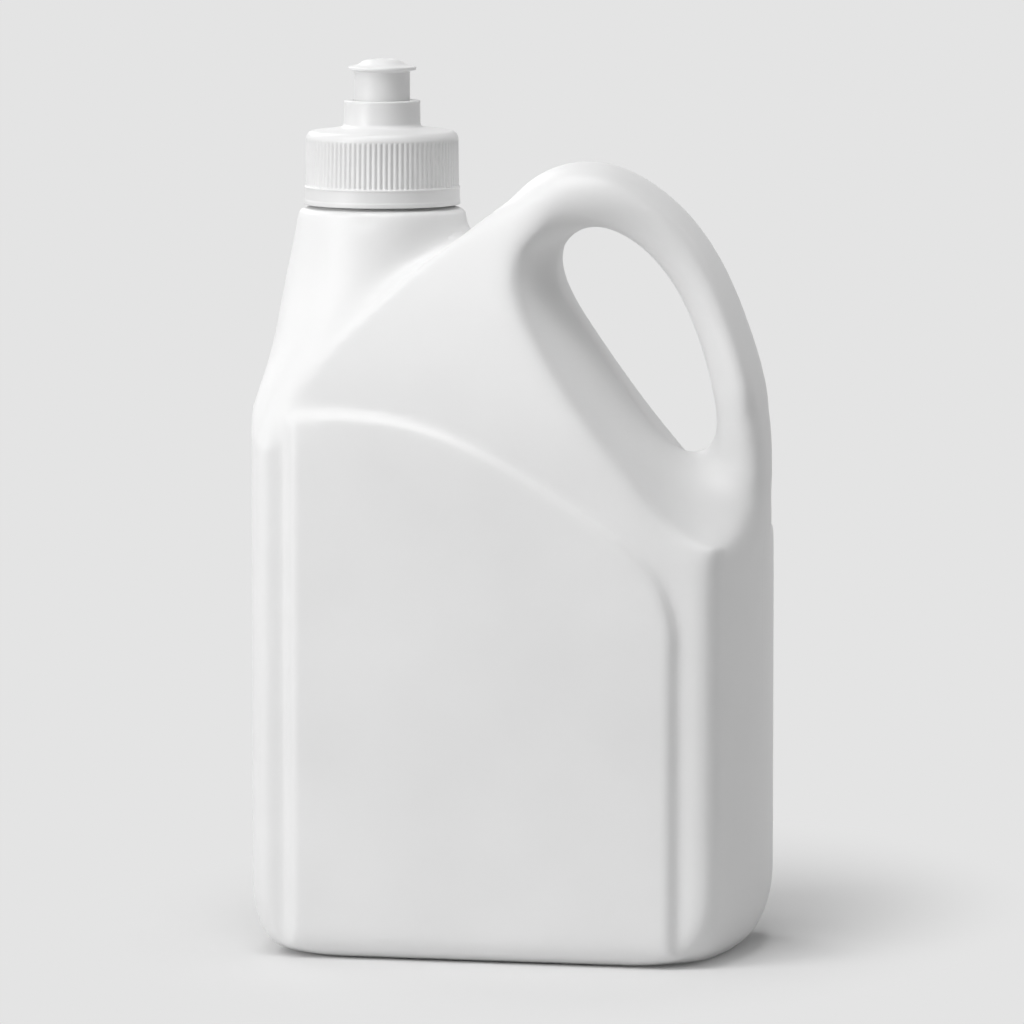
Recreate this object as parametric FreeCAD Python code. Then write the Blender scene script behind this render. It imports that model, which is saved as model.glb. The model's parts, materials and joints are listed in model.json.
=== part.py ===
"""Plastic liquid jug with an integral grip handle and a push-pull dispensing cap.

Four real pieces: the blown bottle, the ribbed screw cap, the sliding spout and the seal liner
that the cap clamps on the neck. Millimetres, +Z up, origin in the middle of the base.
The jug is the same front and back, so every shape is symmetric about the plane Y = 0.
"""
import FreeCAD, Part
import math
import os
from FreeCAD import Vector

# ---- body of the bottle ------------------------------------------------------------------
HALF_WIDTH = 68.3            # half width at the mid-plane, where the crowned sides are widest
SIDE_CROWN = 5.5             # how much each side bulges between its two corners
HALF_DEPTH = 38.7            # half depth of the frame round the label panel
CORNER_R = 6.5               # vertical corner radius
BASE_EDGE_R = 4.9            # rounding between the front or back and the base
FOOT_TURN = (11.2, 20.0)     # width and height of the turn from the left or right wall to the base
FOOT_ANGLES = (0, 14, 24, 34, 44, 54, 64, 76, 90)   # degrees round that turn, one per section
FOOT_CORNER_GAIN = 14.5      # how much larger the upright corner's radius is at the very base
FOOT_CORNER_HASTE = 5        # how soon that gain is used up above the base
LEAN_START_Z = 132.0         # above this height the front and back lean towards each other
LEAN_R = 135.0               # radius of that lean
BODY_TOP = 214.0             # height that clears the whole body
CLEAR = 5.0                  # how far a cutting form runs past the body
PUSH_UP_RIM = 6.0            # flat ring left round the recess under the base
PUSH_UP_DEPTH = 4.0
PUSH_UP_TAPER = 6.4          # how much smaller the roof of that recess is on every side
PUSH_UP_R = (14.0, 9.0)      # corner radius of the recess at its mouth and at its roof
WALL = 1.2                   # blown wall thickness

# ---- label panel ---------------------------------------------------------------------------
PANEL_RISE = 2.2             # how far the panel stands out of the frame
PANEL_STEP = 2.3             # width of the sloping step round it

# ---- neck finish: 38 mm, six threads to the inch -------------------------------------------
NECK_X = -36.5
SHOULDER_TOP_R = 22.4        # round top of the shoulder under the cap
SHOULDER_TOP = 198.7
NECK_SINK = 16.0             # how far the neck's root reaches down into the shoulder
NECK_TAPER = 1.2             # how much narrower that root is at its lower end
NECK_R = 17.5                # root of the thread
NECK_BORE_R = 15.6
NECK_TOP = 216.0
THREAD_R = 18.7              # crest of the neck thread
PITCH = 25.4 / 6
THREAD_TURNS = 1.5
NECK_THREAD_Z = 204.0        # height at which the neck thread starts

# ---- cap -----------------------------------------------------------------------------------
CAP_R = 21.0
CAP_TOP_R = 20.5
CAP_Z = 199.6                # rim
BAND_TOP = 204.2             # plain band below the ribs
RIB_TOP = 217.0
RIB_COUNT = 90
RIB_DEPTH = 0.45
CAP_BORE_R = 19.15
CAP_THREAD_R = 17.85         # crest of the cap's own thread
LINER_THICK = 1.2
DECK_TOP = 219.4
COLLAR_R = 10.3
COLLAR_TOP = 227.5
COLLAR_BORE_R = 8.4
COLLAR_LIP_R = 7.7
POST_R = 5.2
POST_BORE_R = 3.9
POST_TOP = 231.0
PIN_R = 2.4
PIN_TOP = 238.8

# ---- spout ---------------------------------------------------------------------------------
SPOUT_R = 7.5
SPOUT_BORE_R = 5.3
SPOUT_BEAD_R = 8.2
SPOUT_BOTTOM = 219.6
SPOUT_BEAD_Z = (220.6, 221.1)   # top of the straight bead and of the taper above it
SPOUT_TRAVEL = 5.0
COLLAR_LIP_Z = SPOUT_BEAD_Z[1] + SPOUT_TRAVEL + 0.2
SPOUT_FLANGE_Z = 235.2
SPOUT_FLANGE_R = 9.2
ORIFICE_R = 2.5


def spline(points):
    """Edge of the interpolating spline through the points."""
    curve = Part.BSplineCurve()
    curve.interpolate([Vector(*p) for p in points])
    return curve.toShape()


def line(a, b):
    return Part.makeLine(Vector(*a), Vector(*b))


def superellipse(part, squareness):
    """Coordinate on a unit superellipse from the cosine or sine of its parameter."""
    return math.copysign(abs(part) ** (2 / squareness), part)


def moved_in(points, inset):
    """Open run of (x, z) points, walked with the body on its left, each moved into the body."""
    result = []
    for i, (x, z) in enumerate(points):
        x0, z0 = points[max(i - 1, 0)]
        x1, z1 = points[min(i + 1, len(points) - 1)]
        length = math.hypot(x1 - x0, z1 - z0)
        result.append((x - (z1 - z0) / length * inset, z + (x1 - x0) / length * inset))
    return result


def half_depth(z, inset=0.0, rise=0.0):
    """Half depth of the body at height z."""
    flat = HALF_DEPTH + rise - inset
    if z <= LEAN_START_Z:
        return flat
    radius = LEAN_R + rise - inset
    return flat - radius + math.sqrt(radius ** 2 - (z - LEAN_START_Z) ** 2)


# ---- the body's plan and side views --------------------------------------------------------

def plan_wire(half_width, depth, corner_r, z):
    """Plan outline at height z: straight front and back, crowned sides, tangent round corners."""
    side_r = (depth ** 2 + SIDE_CROWN ** 2) / (2 * SIDE_CROWN)
    side_x = half_width - side_r
    arc_y = depth - corner_r
    arc_x = side_x + math.sqrt((side_r - corner_r) ** 2 - arc_y ** 2)
    reach = side_r / (side_r - corner_r)
    side_end = (side_x + (arc_x - side_x) * reach, arc_y * reach)
    turn = math.atan2(arc_y, arc_x - side_x)
    middle = (arc_x + corner_r * math.cos((turn + math.pi / 2) / 2),
              arc_y + corner_r * math.sin((turn + math.pi / 2) / 2))

    def at(p, sx, sy):
        return Vector(sx * p[0], sy * p[1], z)

    front_end = (arc_x, depth)
    edges = [Part.makeLine(at(front_end, -1, -1), at(front_end, 1, -1)),
             Part.Arc(at(front_end, 1, -1), at(middle, 1, -1), at(side_end, 1, -1)).toShape(),
             Part.Arc(at(side_end, 1, -1), Vector(half_width, 0, z), at(side_end, 1, 1)).toShape(),
             Part.Arc(at(side_end, 1, 1), at(middle, 1, 1), at(front_end, 1, 1)).toShape(),
             Part.makeLine(at(front_end, 1, 1), at(front_end, -1, 1)),
             Part.Arc(at(front_end, -1, 1), at(middle, -1, 1), at(side_end, -1, 1)).toShape(),
             Part.Arc(at(side_end, -1, 1), Vector(-half_width, 0, z), at(side_end, -1, -1)).toShape(),
             Part.Arc(at(side_end, -1, -1), at(middle, -1, -1), at(front_end, -1, -1)).toShape()]
    return Part.Wire(edges)


def quarter(r, z):
    """How far a quarter-round foot of radius r stands back at height z above the base."""
    return r - math.sqrt(max(r ** 2 - max(r - z, 0.0) ** 2, 0.0))


def plan_loft(inset, rise=0.0):
    """Upright block whose foot turns in to the base, more at its ends than at the front and back."""
    width, height = (size - inset for size in FOOT_TURN)
    edge_r = BASE_EDGE_R - inset + rise
    wires = []
    for turn in FOOT_ANGLES:
        z = height * (1 - math.cos(math.radians(turn)))
        half_width = HALF_WIDTH - inset - width * (1 - math.sin(math.radians(turn)))
        corner_r = CORNER_R - inset + FOOT_CORNER_GAIN * (1 - z / height) ** FOOT_CORNER_HASTE
        depth = HALF_DEPTH + rise - inset - quarter(edge_r, z)
        wires.append(plan_wire(half_width, depth, corner_r, inset + z))
    wires.append(plan_wire(HALF_WIDTH - inset, HALF_DEPTH + rise - inset, CORNER_R - inset, BODY_TOP))
    return Part.makeLoft(wires, True, True)


def side_prism(inset, rise=0.0):
    """Side view: upright walls, then the lean of the front and the back towards each other."""
    flat = HALF_DEPTH + rise - inset + 1e-3
    top = half_depth(BODY_TOP, inset, rise)
    middle_z = (LEAN_START_Z + BODY_TOP) / 2
    middle = half_depth(middle_z, inset, rise)
    x = HALF_WIDTH + CLEAR
    low = -CLEAR

    def at(y, z):
        return Vector(-x, y, z)

    edges = [Part.makeLine(at(-flat, low), at(flat, low)),
             Part.makeLine(at(flat, low), at(flat, LEAN_START_Z)),
             Part.Arc(at(flat, LEAN_START_Z), at(middle, middle_z), at(top, BODY_TOP)).toShape(),
             Part.makeLine(at(top, BODY_TOP), at(-top, BODY_TOP)),
             Part.Arc(at(-top, BODY_TOP), at(-middle, middle_z), at(-flat, LEAN_START_Z)).toShape(),
             Part.makeLine(at(-flat, LEAN_START_Z), at(-flat, low))]
    return Part.Face(Part.Wire(edges)).extrude(Vector(2 * x, 0, 0))


# crease where the shoulder meets the front: from the left wall up to the root of the handle
CREASE = [(-52.6, 140.0), (-49.0, 152.0), (-37.5, 168.0), (-22.2, 182.8), (-6.0, 195.6), (1.0, 201.2),
          (7.0, 204.0), (12.0, 205.0)]
# hand recess, walked from the right wall under the hole and up its left side:
# x and z at the front face, x and z at the mid-plane, hollowness of the slope between them
RECESS = [(76.0, 111.6, 76.0, 146.0, 4.2), (68.0, 111.8, 68.0, 146.0, 4.2), (60.4, 112.6, 57.0, 141.6, 2.4),
          (52.3, 116.6, 50.0, 134.7, 1.6), (42.9, 126.6, 42.9, 137.2, 1.4), (32.6, 138.5, 35.8, 144.0, 1.2),
          (22.8, 150.7, 27.5, 155.0, 1.0), (13.7, 164.0, 19.2, 166.4, 1.0), (6.9, 176.2, 13.2, 175.9, 1.0),
          (4.8, 184.2, 11.5, 184.5, 1.0), (6.8, 191.4, 13.3, 190.0, 1.0), (11.4, 196.8, 17.4, 193.2, 1.0)]
# depths of the recess sections as shares of the way from the front to the mid-plane
RECESS_DEPTHS = (0.0, 0.35, 0.6, 0.8, 1.0)
REACH = HALF_DEPTH + PANEL_RISE + 1.0


def recess_edge(share):
    """Outline of the recess at a share of the way from the front to the mid-plane."""
    edge = []
    for front_x, front_z, middle_x, middle_z, hollowness in RECESS:
        part = share ** hollowness
        edge.append((front_x + (middle_x - front_x) * part, front_z + (middle_z - front_z) * part))
    return edge


def front_wire(share, side, inset):
    """Front view of the body above its foot and without its handle, on one side of the mid-plane."""
    y = side * REACH * (1 - share)
    edge = moved_in(recess_edge(share), inset)
    crease = moved_in(list(reversed(CREASE)), inset)
    right = edge[0][0]
    left_top = (-right, SHOULDER[0][0] + 1.0)

    def at(p):
        return (p[0], y, p[1])

    edges = [line(at((-right, -CLEAR)), at((right, -CLEAR))),
             line(at((right, -CLEAR)), at(edge[0])),
             spline([at(p) for p in edge]),
             line(at(edge[-1]), at(crease[0])),
             spline([at(p) for p in crease]),
             line(at(crease[-1]), at(left_top)),
             line(at(left_top), at((-right, -CLEAR)))]
    return Part.Wire(edges)


def front_loft(inset):
    """Body seen from the front: the hand recess slopes from both faces to the mid-plane."""
    wires = [front_wire(share, -1, inset) for share in RECESS_DEPTHS]
    wires += [front_wire(share, 1, inset) for share in reversed(RECESS_DEPTHS[:-1])]
    return Part.makeLoft(wires, True, True)


# shoulder sections: height, middle, half width, half depth less the body's, squareness
SHOULDER = [(128.0, -45.0, 23.25, -0.1, 7.0), (137.0, -45.0, 23.2, -0.1, 5.6),
            (146.0, -44.5, 22.5, 0.0, 4.2), (154.0, -43.0, 22.5, 0.0, 3.2), (163.0, -40.0, 24.2, -0.6, 2.5),
            (173.0, -37.5, 25.6, -1.4, 2.2), (183.0, -36.6, 25.0, -1.8, 2.05),
            (191.0, -36.5, 23.6, -0.6, 2.0), (197.2, -36.5, 22.55, 1.0, 2.0)]


def shoulder_section(z, middle_x, half_width, extra, squareness, inset):
    """Closed superellipse round the neck side of the body."""
    a = half_width - inset
    b = half_depth(z, inset) + extra
    if z > SHOULDER[-2][0]:
        b = a
    count = 20
    points = []
    for i in range(count):
        t = 2 * math.pi * (i + 0.5) / count
        points.append(Vector(middle_x + a * superellipse(math.cos(t), squareness),
                             b * superellipse(math.sin(t), squareness), z))
    curve = Part.BSplineCurve()
    curve.interpolate(points, PeriodicFlag=True)
    return Part.Wire([curve.toShape()])


def shoulder(inset):
    """The shoulder rises from the left end of the body and turns round as it meets the neck."""
    wires = [shoulder_section(*row, inset) for row in SHOULDER]
    solid = Part.makeLoft(wires, True, False)
    if inset:
        solid = solid.cut(ring(NECK_X, HALF_WIDTH, 0, SHOULDER_TOP - 2 * inset, NECK_TOP))
    return solid


# handle: centre line (x, z), half thickness in the front view, half depth, squareness, and
# outward share: how much deeper the section is at its outer side than in its middle
HANDLE = [(-2.0, 189.0, 6.6, 20.5, 3.6, 0.0), (8.4, 197.9, 8.6, 22.0, 3.2, -0.05),
          (22.0, 203.1, 8.4, 18.2, 3.0, -0.08), (36.5, 197.5, 7.0, 14.2, 3.0, 0.05),
          (48.4, 185.0, 6.3, 11.8, 3.2, 0.15), (57.2, 166.4, 6.0, 11.2, 3.4, 0.25),
          (61.9, 148.0, 6.4, 10.6, 3.6, 0.3), (62.9, 136.0, 7.0, 9.2, 3.4, 0.3),
          (63.0, 125.0, 7.0, 9.2, 3.4, 0.3), (62.3, 116.0, 6.9, 12.6, 4.2, 0.2),
          (60.8, 105.0, 6.4, 15.0, 4.5, 0.0)]


def handle(inset):
    """Grip tube lofted through rounded sections square to its centre line."""
    wires = []
    count = 16
    for i, (x, z, half_thick, half_deep, squareness, outward) in enumerate(HANDLE):
        x0, z0 = HANDLE[max(i - 1, 0)][:2]
        x1, z1 = HANDLE[min(i + 1, len(HANDLE) - 1)][:2]
        length = math.hypot(x1 - x0, z1 - z0)
        across = (-(z1 - z0) / length, (x1 - x0) / length)
        points = []
        for j in range(count):
            t = 2 * math.pi * (j + 0.5) / count
            side = superellipse(math.cos(t), squareness)
            u = (half_thick - inset) * side
            v = (half_deep - inset) * superellipse(math.sin(t), squareness) * (1 + outward * side)
            points.append(Vector(x + across[0] * u, v, z + across[1] * u))
        curve = Part.BSplineCurve()
        curve.interpolate(points, PeriodicFlag=True)
        wires.append(Part.Wire([curve.toShape()]))
    return Part.makeLoft(wires, True, False)


# label panel: its outline from the left foot over the falling arc to the right foot
PANEL_LEFT_X = -52.3
PANEL_RIGHT_X = 52.1
PANEL_ARC = [(52.1, 84.0), (51.5, 94.0), (47.3, 103.9), (36.5, 114.7), (21.4, 124.5), (5.0, 134.0),
             (-13.0, 141.5), (-33.0, 145.0), (-52.3, 144.6)]


def panel_wire(y, grow):
    """Outline of the panel at depth y, grown outwards by grow."""
    arc = moved_in(PANEL_ARC, -grow)
    left = PANEL_LEFT_X - grow
    right = PANEL_RIGHT_X + grow
    arc[0] = (right, arc[0][1])
    arc[-1] = (left, arc[-1][1])

    def at(p):
        return (p[0], y, p[1])

    return Part.Wire([line(at((left, -CLEAR)), at((right, -CLEAR))),
                      line(at((right, -CLEAR)), at(arc[0])),
                      spline([at(p) for p in arc]),
                      line(at(arc[-1]), at((left, -CLEAR)))])


def panels(inset):
    """Raised fields on the front and the back, with sloping steps round them."""
    inner_y = HALF_DEPTH - PANEL_RISE
    outer_y = HALF_DEPTH + 2 * PANEL_RISE
    spread = 1.5 * PANEL_STEP
    wires = [panel_wire(-inner_y, spread - inset), panel_wire(-outer_y, -spread - inset)]
    front = Part.makeLoft(wires, True, True)
    return [front, front.mirror(Vector(0, 0, 0), Vector(0, 1, 0))]


def rounded_rectangle(half_x, half_y, r, z):
    """Wire of a rounded rectangle at height z."""
    k = r * (1 - math.sqrt(0.5))
    edges = []
    for sx, sy in ((1, 1), (-1, 1), (-1, -1), (1, -1)):
        side_end = Vector(sx * half_x, sy * (half_y - r), z)
        end_end = Vector(sx * (half_x - r), sy * half_y, z)
        middle = Vector(sx * (half_x - k), sy * (half_y - k), z)
        run = (side_end, middle, end_end) if sx == sy else (end_end, middle, side_end)
        if edges:
            edges.append(Part.makeLine(edges[-1].Vertexes[-1].Point, run[0]))
        edges.append(Part.Arc(*run).toShape())
    edges.append(Part.makeLine(edges[-1].Vertexes[-1].Point, edges[0].Vertexes[0].Point))
    return Part.Wire(edges)


def push_up(grow):
    """Shallow recess under the base, which leaves a ring to stand on."""
    half_x = HALF_WIDTH - FOOT_TURN[0] - PUSH_UP_RIM + grow
    half_y = HALF_DEPTH - BASE_EDGE_R - PUSH_UP_RIM + grow
    mouth_r, roof_r = (r + grow for r in PUSH_UP_R)
    wires = [rounded_rectangle(half_x, half_y, mouth_r, -0.01),
             rounded_rectangle(half_x - PUSH_UP_TAPER, half_y - PUSH_UP_TAPER, roof_r, PUSH_UP_DEPTH + grow)]
    return Part.makeLoft(wires, True, True)


def frame_block(inset, rise=0.0):
    """Body block without recess or shoulder."""
    return plan_loft(inset, rise).common(side_prism(inset, rise))


def body_form(inset):
    """The whole blown form up to the neck, shrunk by inset on every side."""
    body = front_loft(inset).fuse(shoulder(inset)).common(frame_block(inset))
    field = frame_block(inset, PANEL_RISE)
    for panel in panels(inset):
        body = body.fuse(panel.common(field))
    body = body.fuse(handle(inset))
    return body.cut(push_up(inset))


# ---- neck and threads ------------------------------------------------------------------------

def ring(x, outer, inner, low, high):
    """Tube standing on the axis at x."""
    tube = Part.makeCylinder(outer, high - low, Vector(x, 0, low))
    if inner:
        tube = tube.cut(Part.makeCylinder(inner, high - low, Vector(x, 0, low)))
    return tube


def turned(profile, x):
    """Solid turned from a closed (radius, z) profile about the upright axis at x."""
    points = [Vector(x + r, 0, z) for r, z in profile]
    face = Part.Face(Part.makePolygon(points + [points[0]]))
    return face.revolve(Vector(x, 0, 0), Vector(0, 0, 1), 360)


def thread(root_r, crest_r, low, turns):
    """Right-hand thread rib from its root radius to its crest radius, on the neck axis."""
    height = PITCH * turns
    rise = crest_r - root_r
    sink = 0.25 if rise > 0 else -0.25
    base = PITCH * 0.42
    tip = PITCH * 0.16
    helix = Part.makeHelix(PITCH, height, root_r)
    corners = [Vector(root_r - sink, 0, -base / 2), Vector(crest_r, 0, -tip / 2),
               Vector(crest_r, 0, tip / 2), Vector(root_r - sink, 0, base / 2)]
    profile = Part.makePolygon(corners + [corners[0]])
    rib = Part.Wire(helix.Edges).makePipeShell([profile], True, True)
    rib.translate(Vector(NECK_X, 0, low))
    return rib


def neck():
    """Solid neck finish: round shoulder top, threaded tube and sealing land, before it is bored."""
    blend = 2.0
    lip = 0.8
    low = SHOULDER_TOP - NECK_SINK
    round_r = SHOULDER_TOP - SHOULDER[-1][0]
    top = [(SHOULDER_TOP_R - round_r * (1 - math.sin(t)), SHOULDER_TOP - round_r * (1 - math.cos(t)))
           for t in (math.radians(90 - 15 * i) for i in range(7))]
    finish = [(NECK_R + blend, SHOULDER_TOP), (NECK_R, SHOULDER_TOP + blend), (NECK_R, NECK_TOP - lip),
              (NECK_R - lip, NECK_TOP), (0, NECK_TOP)]
    body = turned([(0, low), (SHOULDER_TOP_R - NECK_TAPER, low)] + top + finish, NECK_X)
    rib = thread(NECK_R, THREAD_R, NECK_THREAD_Z, THREAD_TURNS)
    return body.fuse(rib)


def bottle():
    """Blown shell: outer form and neck, hollowed by the inner form and the neck bore."""
    outer = body_form(0.0).fuse(neck())
    inner = body_form(WALL)
    bore = ring(NECK_X, NECK_BORE_R, 0, SHOULDER_TOP - NECK_SINK + CLEAR, NECK_TOP + CLEAR)
    return outer.cut(inner.fuse(bore))


# ---- cap ---------------------------------------------------------------------------------------

def cap():
    """Screw cap turned in one piece with its collar, post and seal pin, ribbed outside."""
    liner_seat = NECK_TOP + LINER_THICK
    skin = [(CAP_R, CAP_Z), (CAP_R, BAND_TOP), (CAP_TOP_R, RIB_TOP), (CAP_TOP_R - 0.9, RIB_TOP + 1.5),
            (CAP_TOP_R - 2.8, DECK_TOP - 0.3), (COLLAR_R + 0.6, DECK_TOP + 0.9),
            (COLLAR_R, DECK_TOP + 1.5), (COLLAR_R, COLLAR_TOP - 0.5), (COLLAR_R - 0.5, COLLAR_TOP),
            (COLLAR_LIP_R + 0.3, COLLAR_TOP), (COLLAR_LIP_R, COLLAR_TOP - 0.3),
            (COLLAR_LIP_R, COLLAR_LIP_Z), (COLLAR_BORE_R, COLLAR_LIP_Z), (COLLAR_BORE_R, DECK_TOP),
            (POST_R, DECK_TOP), (POST_R, POST_TOP - 0.6), (POST_R - 0.6, POST_TOP),
            (POST_BORE_R, POST_TOP), (POST_BORE_R, liner_seat), (CAP_BORE_R, liner_seat),
            (CAP_BORE_R, CAP_Z + 0.8), (CAP_BORE_R + 0.8, CAP_Z)]
    body = turned(skin, NECK_X)
    body = body.cut(rib_grooves())
    body = body.fuse(thread(CAP_BORE_R, CAP_THREAD_R, NECK_THREAD_Z + PITCH / 2, THREAD_TURNS))
    dome = 1.0
    pin = turned([(0, POST_TOP - 6.0), (PIN_R, POST_TOP - 6.0), (PIN_R, PIN_TOP - dome),
                  (PIN_R * 0.75, PIN_TOP - dome * 0.4), (0, PIN_TOP)], NECK_X)
    body = body.fuse(pin)
    for i in range(3):
        spoke = Part.makeBox(POST_BORE_R, 1.2, 6.0, Vector(NECK_X, -0.6, POST_TOP - 6.0))
        spoke.rotate(Vector(NECK_X, 0, 0), Vector(0, 0, 1), 120 * i)
        body = body.fuse(spoke)
    return body


def rib_grooves():
    """The grooves between the grip ribs, as one compound of slanted V bars."""
    lean = math.degrees(math.atan2(CAP_R - CAP_TOP_R, RIB_TOP - BAND_TOP))
    pitch = 2 * math.pi * CAP_R / RIB_COUNT
    half = pitch * 0.32
    points = [Vector(CAP_R - RIB_DEPTH, 0, 0), Vector(CAP_R + 0.5, -half - 0.3, 0),
              Vector(CAP_R + 0.5, half + 0.3, 0)]
    face = Part.Face(Part.makePolygon(points + [points[0]]))
    bar = face.extrude(Vector(0, 0, RIB_TOP - BAND_TOP + 2.0))
    bar.rotate(Vector(CAP_R, 0, 0), Vector(0, 1, 0), -lean)
    bar.translate(Vector(0, 0, BAND_TOP))
    bars = []
    for i in range(RIB_COUNT):
        copy = bar.copy()
        copy.rotate(Vector(0, 0, 0), Vector(0, 0, 1), 360.0 * i / RIB_COUNT)
        copy.translate(Vector(NECK_X, 0, 0))
        bars.append(copy)
    return Part.makeCompound(bars)


def spout():
    """Sliding spout: beaded foot in the collar, waisted neck, flange and domed mouth."""
    under_flange = SPOUT_FLANGE_Z
    profile = [(SPOUT_BORE_R, SPOUT_BOTTOM), (SPOUT_BEAD_R, SPOUT_BOTTOM),
               (SPOUT_BEAD_R, SPOUT_BEAD_Z[0]), (SPOUT_R, SPOUT_BEAD_Z[1]),
               (SPOUT_R, under_flange - 1.6), (SPOUT_R + 0.5, under_flange - 0.6),
               (SPOUT_FLANGE_R - 0.4, under_flange), (SPOUT_FLANGE_R, under_flange + 0.4),
               (SPOUT_FLANGE_R, under_flange + 1.0), (SPOUT_FLANGE_R - 0.5, under_flange + 1.4),
               (5.6, under_flange + 2.0), (4.6, PIN_TOP - 1.0), (ORIFICE_R + 0.6, PIN_TOP - 0.5),
               (ORIFICE_R, PIN_TOP - 1.0), (ORIFICE_R, under_flange - 0.4),
               (SPOUT_BORE_R, POST_TOP + 1.2)]
    return turned(profile, NECK_X)


def seal_liner():
    """Foam ring between the neck land and the cap deck."""
    return ring(NECK_X, NECK_R + 0.9, NECK_BORE_R - 0.6, NECK_TOP, NECK_TOP + LINER_THICK)


PARTS = {"bottle": bottle, "cap": cap, "spout": spout, "seal_liner": seal_liner}

if __name__ == "__main__":
    os.makedirs("parts", exist_ok=True)
    for name, make in PARTS.items():
        shape = make().Solids[0]
        print(name, shape.ShapeType, len(shape.Solids), shape.isValid(), round(shape.Volume / 1000, 2))
        shape.exportStep("parts/" + name + ".step")
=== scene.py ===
"""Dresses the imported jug: blown bottle, ribbed screw cap, push-pull spout and foam liner."""

import json
import logging
import math
from collections.abc import Callable, Iterator
from contextlib import contextmanager
from dataclasses import dataclass
from enum import Enum

import bmesh
import bpy
from mathutils import Matrix, Vector

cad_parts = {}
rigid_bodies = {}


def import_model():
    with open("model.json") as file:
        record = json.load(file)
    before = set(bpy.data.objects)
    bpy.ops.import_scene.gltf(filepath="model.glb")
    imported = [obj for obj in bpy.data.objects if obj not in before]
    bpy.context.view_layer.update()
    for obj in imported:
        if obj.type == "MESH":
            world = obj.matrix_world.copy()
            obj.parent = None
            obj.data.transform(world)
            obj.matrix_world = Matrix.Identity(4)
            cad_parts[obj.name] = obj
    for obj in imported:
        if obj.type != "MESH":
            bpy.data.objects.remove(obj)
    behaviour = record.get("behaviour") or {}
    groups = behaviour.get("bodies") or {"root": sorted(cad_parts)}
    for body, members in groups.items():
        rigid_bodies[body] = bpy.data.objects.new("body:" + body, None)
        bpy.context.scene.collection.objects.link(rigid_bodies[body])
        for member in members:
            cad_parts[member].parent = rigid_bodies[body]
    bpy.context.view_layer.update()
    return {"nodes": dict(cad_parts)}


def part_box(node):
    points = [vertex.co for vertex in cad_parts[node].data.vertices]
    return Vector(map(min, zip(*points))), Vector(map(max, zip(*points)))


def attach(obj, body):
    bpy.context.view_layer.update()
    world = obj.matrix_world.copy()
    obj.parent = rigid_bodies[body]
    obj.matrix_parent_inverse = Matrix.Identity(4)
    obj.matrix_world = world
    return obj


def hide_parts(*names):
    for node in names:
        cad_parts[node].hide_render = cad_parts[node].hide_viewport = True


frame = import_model()

MM = 0.001
TINY = 1e-6      # a thousandth of a millimetre: nearer than this is the same place
BUMP = 0.1 * MM  # the depth that a bump of full strength shows
NECK_X = sum(corner[0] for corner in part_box("cap")) / 2  # where the neck's upright axis stands
NECK_REACH = 24 * MM  # the neck and the shoulder's rim are nearer to the axis than this
log = logging.getLogger("jug")


# ---- small helpers -------------------------------------------------------------------------

def linear(code: str) -> tuple[float, float, float, float]:
    """Turns an sRGB hex colour into the linear colour that a shader takes.

    Args:
        code: colour such as "#E8E8E6".

    Returns:
        Red, green, blue and alpha, from 0 to 1.
    """
    parts = [int(code[i:i + 2], 16) / 255 for i in (1, 3, 5)]
    return (*(c / 12.92 if c <= 0.04045 else ((c + 0.055) / 1.055) ** 2.4 for c in parts), 1.0)


def add_node(tree: bpy.types.NodeTree, kind: str, settings: dict | None = None,
             links: dict | None = None) -> bpy.types.Node:
    """Adds a node with its settings and links.

    Args:
        tree: node tree that the node goes into.
        kind: type of the node.
        settings: properties, and values of unlinked inputs, by name or number.
        links: output sockets to link, by the name or number of the input.

    Returns:
        The new node.
    """
    node = tree.nodes.new(kind)
    for name, value in (settings or {}).items():
        if isinstance(name, str) and hasattr(node, name):
            setattr(node, name, value)
        else:
            node.inputs[name].default_value = value
    for name, socket in (links or {}).items():
        tree.links.new(socket, node.inputs[name])
    return node


class Pick(Enum):
    """What is selected in edit mode."""

    VERTICES = "VERT"
    EDGES = "EDGE"
    FACES = "FACE"


def take(obj: bpy.types.Object) -> None:
    """Makes one object the only selected and the active one.

    Args:
        obj: the object.
    """
    bpy.ops.object.select_all(action="DESELECT")
    obj.select_set(True)
    bpy.context.view_layer.objects.active = obj


@contextmanager
def editing(obj: bpy.types.Object, kind: Pick = Pick.VERTICES) -> Iterator[None]:
    """Opens an object in edit mode with nothing selected, and closes it again.

    Args:
        obj: mesh object to edit.
        kind: what is selected in it.

    Yields:
        Nothing; the operators in the block act on the object.
    """
    take(obj)
    bpy.ops.object.mode_set(mode="EDIT")
    bpy.ops.mesh.select_mode(type=kind.value)
    bpy.ops.mesh.select_all(action="DESELECT")
    yield
    bpy.ops.object.mode_set(mode="OBJECT")


def pick(obj: bpy.types.Object, test: Callable[[Vector], bool], boundary: bool = False) -> None:
    """Selects the vertices of a mesh in edit mode that pass a test, and nothing else.

    Args:
        obj: mesh object that is in edit mode.
        test: tells from its place whether a vertex is wanted.
        boundary: takes the open edges between such vertices instead.
    """
    mesh = bmesh.from_edit_mesh(obj.data)
    if boundary:
        chosen = [edge for edge in mesh.edges
                  if edge.is_boundary and all(test(vert.co) for vert in edge.verts)]
    else:
        chosen = [vert for vert in mesh.verts if test(vert.co)]
    bpy.ops.mesh.select_all(action="DESELECT")
    for item in chosen:
        item.select_set(True)
    mesh.select_flush_mode()
    bmesh.update_edit_mesh(obj.data)


def from_neck(place: Vector) -> float:
    """Gives how far a place is from the neck's axis."""
    return math.hypot(place.x - NECK_X, place.y)


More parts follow.
